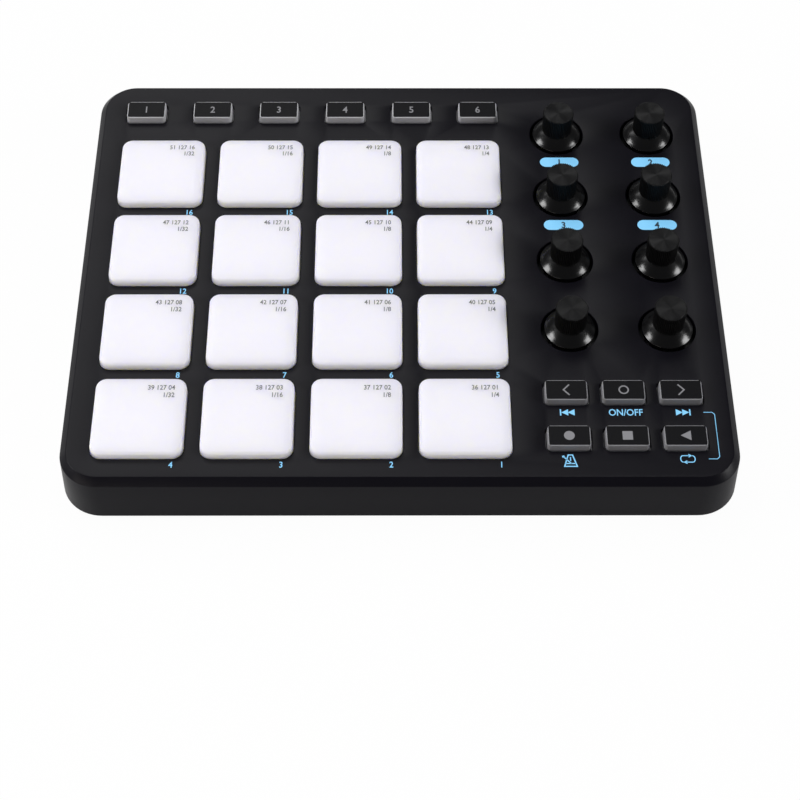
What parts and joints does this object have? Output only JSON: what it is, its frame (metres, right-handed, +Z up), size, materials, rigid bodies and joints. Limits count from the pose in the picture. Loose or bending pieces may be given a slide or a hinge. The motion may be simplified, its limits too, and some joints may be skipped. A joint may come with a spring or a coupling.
{
  "type": "midi pad controller",
  "caption": "Flat desktop pad controller: square silicone pads, endless bell-shaped knobs and small keys on a black bevelled case, with a rear data socket and power switch.",
  "frame": {"origin": "under the middle of the case, on the surface that the feet stand on", "axes": "+X to the right along the case's width, +Y to the rear, +Z up out of the panel"},
  "size_m": [0.2236, 0.1792, 0.0336],
  "materials": {
    "case_plastic": "fine matte texture",
    "cover_plastic": "fine matte texture",
    "board": "solder resist",
    "carrier_plastic": "moulded, satin",
    "film": "smooth film",
    "encoder_metal": "plated sheet",
    "switch_plastic": "moulded",
    "battery_foil": "laminated foil",
    "socket_steel": "plated sheet",
    "lever_plastic": "moulded",
    "screw_steel": "zinc plated",
    "foot_rubber": "matte rubber",
    "pad_silicone": "white translucent silicone, satin",
    "knob_plastic": "gloss bell, matte knurled grip",
    "shaft_steel": "turned",
    "key_plastic": "pale translucent cap with a black top"
  },
  "bodies": {
    "case": {"top_shell": "case_plastic", "bottom_cover": "cover_plastic", "main_board": "board", "pad_carrier": "carrier_plastic", "sensor_film": "film", "encoder_bodies": "encoder_metal", "key_switches": "switch_plastic", "battery": "battery_foil", "usb_socket": "socket_steel", "power_switch": "switch_plastic", "cover_screws": "screw_steel", "board_screws": "screw_steel", "rubber_feet": "foot_rubber"},
    "pad_01": {"pad_01": "pad_silicone"},
    "pad_02": {"pad_02": "pad_silicone"},
    "pad_03": {"pad_03": "pad_silicone"},
    "pad_04": {"pad_04": "pad_silicone"},
    "pad_05": {"pad_05": "pad_silicone"},
    "pad_06": {"pad_06": "pad_silicone"},
    "pad_07": {"pad_07": "pad_silicone"},
    "pad_08": {"pad_08": "pad_silicone"},
    "pad_09": {"pad_09": "pad_silicone"},
    "pad_10": {"pad_10": "pad_silicone"},
    "pad_11": {"pad_11": "pad_silicone"},
    "pad_12": {"pad_12": "pad_silicone"},
    "pad_13": {"pad_13": "pad_silicone"},
    "pad_14": {"pad_14": "pad_silicone"},
    "pad_15": {"pad_15": "pad_silicone"},
    "pad_16": {"pad_16": "pad_silicone"},
    "mode_key_1": {"mode_key_1": "key_plastic"},
    "mode_key_2": {"mode_key_2": "key_plastic"},
    "mode_key_3": {"mode_key_3": "key_plastic"},
    "mode_key_4": {"mode_key_4": "key_plastic"},
    "mode_key_5": {"mode_key_5": "key_plastic"},
    "mode_key_6": {"mode_key_6": "key_plastic"},
    "transport_key_1": {"transport_key_1": "key_plastic"},
    "transport_key_2": {"transport_key_2": "key_plastic"},
    "transport_key_3": {"transport_key_3": "key_plastic"},
    "transport_key_4": {"transport_key_4": "key_plastic"},
    "transport_key_5": {"transport_key_5": "key_plastic"},
    "transport_key_6": {"transport_key_6": "key_plastic"},
    "knob_1": {"knob_1": "knob_plastic", "encoder_shaft_1": "shaft_steel"},
    "knob_2": {"knob_2": "knob_plastic", "encoder_shaft_2": "shaft_steel"},
    "knob_3": {"knob_3": "knob_plastic", "encoder_shaft_3": "shaft_steel"},
    "knob_4": {"knob_4": "knob_plastic", "encoder_shaft_4": "shaft_steel"},
    "knob_5": {"knob_5": "knob_plastic", "encoder_shaft_5": "shaft_steel"},
    "knob_6": {"knob_6": "knob_plastic", "encoder_shaft_6": "shaft_steel"},
    "knob_7": {"knob_7": "knob_plastic", "encoder_shaft_7": "shaft_steel"},
    "knob_8": {"knob_8": "knob_plastic", "encoder_shaft_8": "shaft_steel"},
    "power_lever": {"power_lever": "lever_plastic"}
  },
  "joints": [
    {"name": "pad_01_press", "type": "slide", "parent": "case", "child": "pad_01", "axis": [0, 0, -1], "range_m": [0, 0.0012], "stiffness_N_per_m": 2500},
    {"name": "pad_02_press", "type": "slide", "parent": "case", "child": "pad_02", "axis": [0, 0, -1], "range_m": [0, 0.0012], "stiffness_N_per_m": 2500},
    {"name": "pad_03_press", "type": "slide", "parent": "case", "child": "pad_03", "axis": [0, 0, -1], "range_m": [0, 0.0012], "stiffness_N_per_m": 2500},
    {"name": "pad_04_press", "type": "slide", "parent": "case", "child": "pad_04", "axis": [0, 0, -1], "range_m": [0, 0.0012], "stiffness_N_per_m": 2500},
    {"name": "pad_05_press", "type": "slide", "parent": "case", "child": "pad_05", "axis": [0, 0, -1], "range_m": [0, 0.0012], "stiffness_N_per_m": 2500},
    {"name": "pad_06_press", "type": "slide", "parent": "case", "child": "pad_06", "axis": [0, 0, -1], "range_m": [0, 0.0012], "stiffness_N_per_m": 2500},
    {"name": "pad_07_press", "type": "slide", "parent": "case", "child": "pad_07", "axis": [0, 0, -1], "range_m": [0, 0.0012], "stiffness_N_per_m": 2500},
    {"name": "pad_08_press", "type": "slide", "parent": "case", "child": "pad_08", "axis": [0, 0, -1], "range_m": [0, 0.0012], "stiffness_N_per_m": 2500},
    {"name": "pad_09_press", "type": "slide", "parent": "case", "child": "pad_09", "axis": [0, 0, -1], "range_m": [0, 0.0012], "stiffness_N_per_m": 2500},
    {"name": "pad_10_press", "type": "slide", "parent": "case", "child": "pad_10", "axis": [0, 0, -1], "range_m": [0, 0.0012], "stiffness_N_per_m": 2500},
    {"name": "pad_11_press", "type": "slide", "parent": "case", "child": "pad_11", "axis": [0, 0, -1], "range_m": [0, 0.0012], "stiffness_N_per_m": 2500},
    {"name": "pad_12_press", "type": "slide", "parent": "case", "child": "pad_12", "axis": [0, 0, -1], "range_m": [0, 0.0012], "stiffness_N_per_m": 2500},
    {"name": "pad_13_press", "type": "slide", "parent": "case", "child": "pad_13", "axis": [0, 0, -1], "range_m": [0, 0.0012], "stiffness_N_per_m": 2500},
    {"name": "pad_14_press", "type": "slide", "parent": "case", "child": "pad_14", "axis": [0, 0, -1], "range_m": [0, 0.0012], "stiffness_N_per_m": 2500},
    {"name": "pad_15_press", "type": "slide", "parent": "case", "child": "pad_15", "axis": [0, 0, -1], "range_m": [0, 0.0012], "stiffness_N_per_m": 2500},
    {"name": "pad_16_press", "type": "slide", "parent": "case", "child": "pad_16", "axis": [0, 0, -1], "range_m": [0, 0.0012], "stiffness_N_per_m": 2500},
    {"name": "mode_key_1_press", "type": "slide", "parent": "case", "child": "mode_key_1", "axis": [0, 0, -1], "range_m": [0, 0.0005], "stiffness_N_per_m": 3000},
    {"name": "mode_key_2_press", "type": "slide", "parent": "case", "child": "mode_key_2", "axis": [0, 0, -1], "range_m": [0, 0.0005], "stiffness_N_per_m": 3000},
    {"name": "mode_key_3_press", "type": "slide", "parent": "case", "child": "mode_key_3", "axis": [0, 0, -1], "range_m": [0, 0.0005], "stiffness_N_per_m": 3000},
    {"name": "mode_key_4_press", "type": "slide", "parent": "case", "child": "mode_key_4", "axis": [0, 0, -1], "range_m": [0, 0.0005], "stiffness_N_per_m": 3000},
    {"name": "mode_key_5_press", "type": "slide", "parent": "case", "child": "mode_key_5", "axis": [0, 0, -1], "range_m": [0, 0.0005], "stiffness_N_per_m": 3000},
    {"name": "mode_key_6_press", "type": "slide", "parent": "case", "child": "mode_key_6", "axis": [0, 0, -1], "range_m": [0, 0.0005], "stiffness_N_per_m": 3000},
    {"name": "transport_key_1_press", "type": "slide", "parent": "case", "child": "transport_key_1", "axis": [0, 0, -1], "range_m": [0, 0.0005], "stiffness_N_per_m": 3000},
    {"name": "transport_key_2_press", "type": "slide", "parent": "case", "child": "transport_key_2", "axis": [0, 0, -1], "range_m": [0, 0.0005], "stiffness_N_per_m": 3000},
    {"name": "transport_key_3_press", "type": "slide", "parent": "case", "child": "transport_key_3", "axis": [0, 0, -1], "range_m": [0, 0.0005], "stiffness_N_per_m": 3000},
    {"name": "transport_key_4_press", "type": "slide", "parent": "case", "child": "transport_key_4", "axis": [0, 0, -1], "range_m": [0, 0.0005], "stiffness_N_per_m": 3000},
    {"name": "transport_key_5_press", "type": "slide", "parent": "case", "child": "transport_key_5", "axis": [0, 0, -1], "range_m": [0, 0.0005], "stiffness_N_per_m": 3000},
    {"name": "transport_key_6_press", "type": "slide", "parent": "case", "child": "transport_key_6", "axis": [0, 0, -1], "range_m": [0, 0.0005], "stiffness_N_per_m": 3000},
    {"name": "knob_1_turn", "type": "hinge", "parent": "case", "child": "knob_1", "pos_m": [0.05787, 0.06277, 0.022], "axis": [0, 0, 1], "continuous": true},
    {"name": "knob_2_turn", "type": "hinge", "parent": "case", "child": "knob_2", "pos_m": [0.09107, 0.06277, 0.022], "axis": [0, 0, 1], "continuous": true},
    {"name": "knob_3_turn", "type": "hinge", "parent": "case", "child": "knob_3", "pos_m": [0.05787, 0.03292, 0.022], "axis": [0, 0, 1], "continuous": true},
    {"name": "knob_4_turn", "type": "hinge", "parent": "case", "child": "knob_4", "pos_m": [0.09107, 0.03292, 0.022], "axis": [0, 0, 1], "continuous": true},
    {"name": "knob_5_turn", "type": "hinge", "parent": "case", "child": "knob_5", "pos_m": [0.05787, 0.00307, 0.022], "axis": [0, 0, 1], "continuous": true},
    {"name": "knob_6_turn", "type": "hinge", "parent": "case", "child": "knob_6", "pos_m": [0.09107, 0.00307, 0.022], "axis": [0, 0, 1], "continuous": true},
    {"name": "knob_7_turn", "type": "hinge", "parent": "case", "child": "knob_7", "pos_m": [0.05787, -0.02678, 0.022], "axis": [0, 0, 1], "continuous": true},
    {"name": "knob_8_turn", "type": "hinge", "parent": "case", "child": "knob_8", "pos_m": [0.09107, -0.02678, 0.022], "axis": [0, 0, 1], "continuous": true},
    {"name": "power_lever_slide", "type": "slide", "parent": "case", "child": "power_lever", "axis": [1, 0, 0], "range_m": [0, 0.002]}
  ]
}
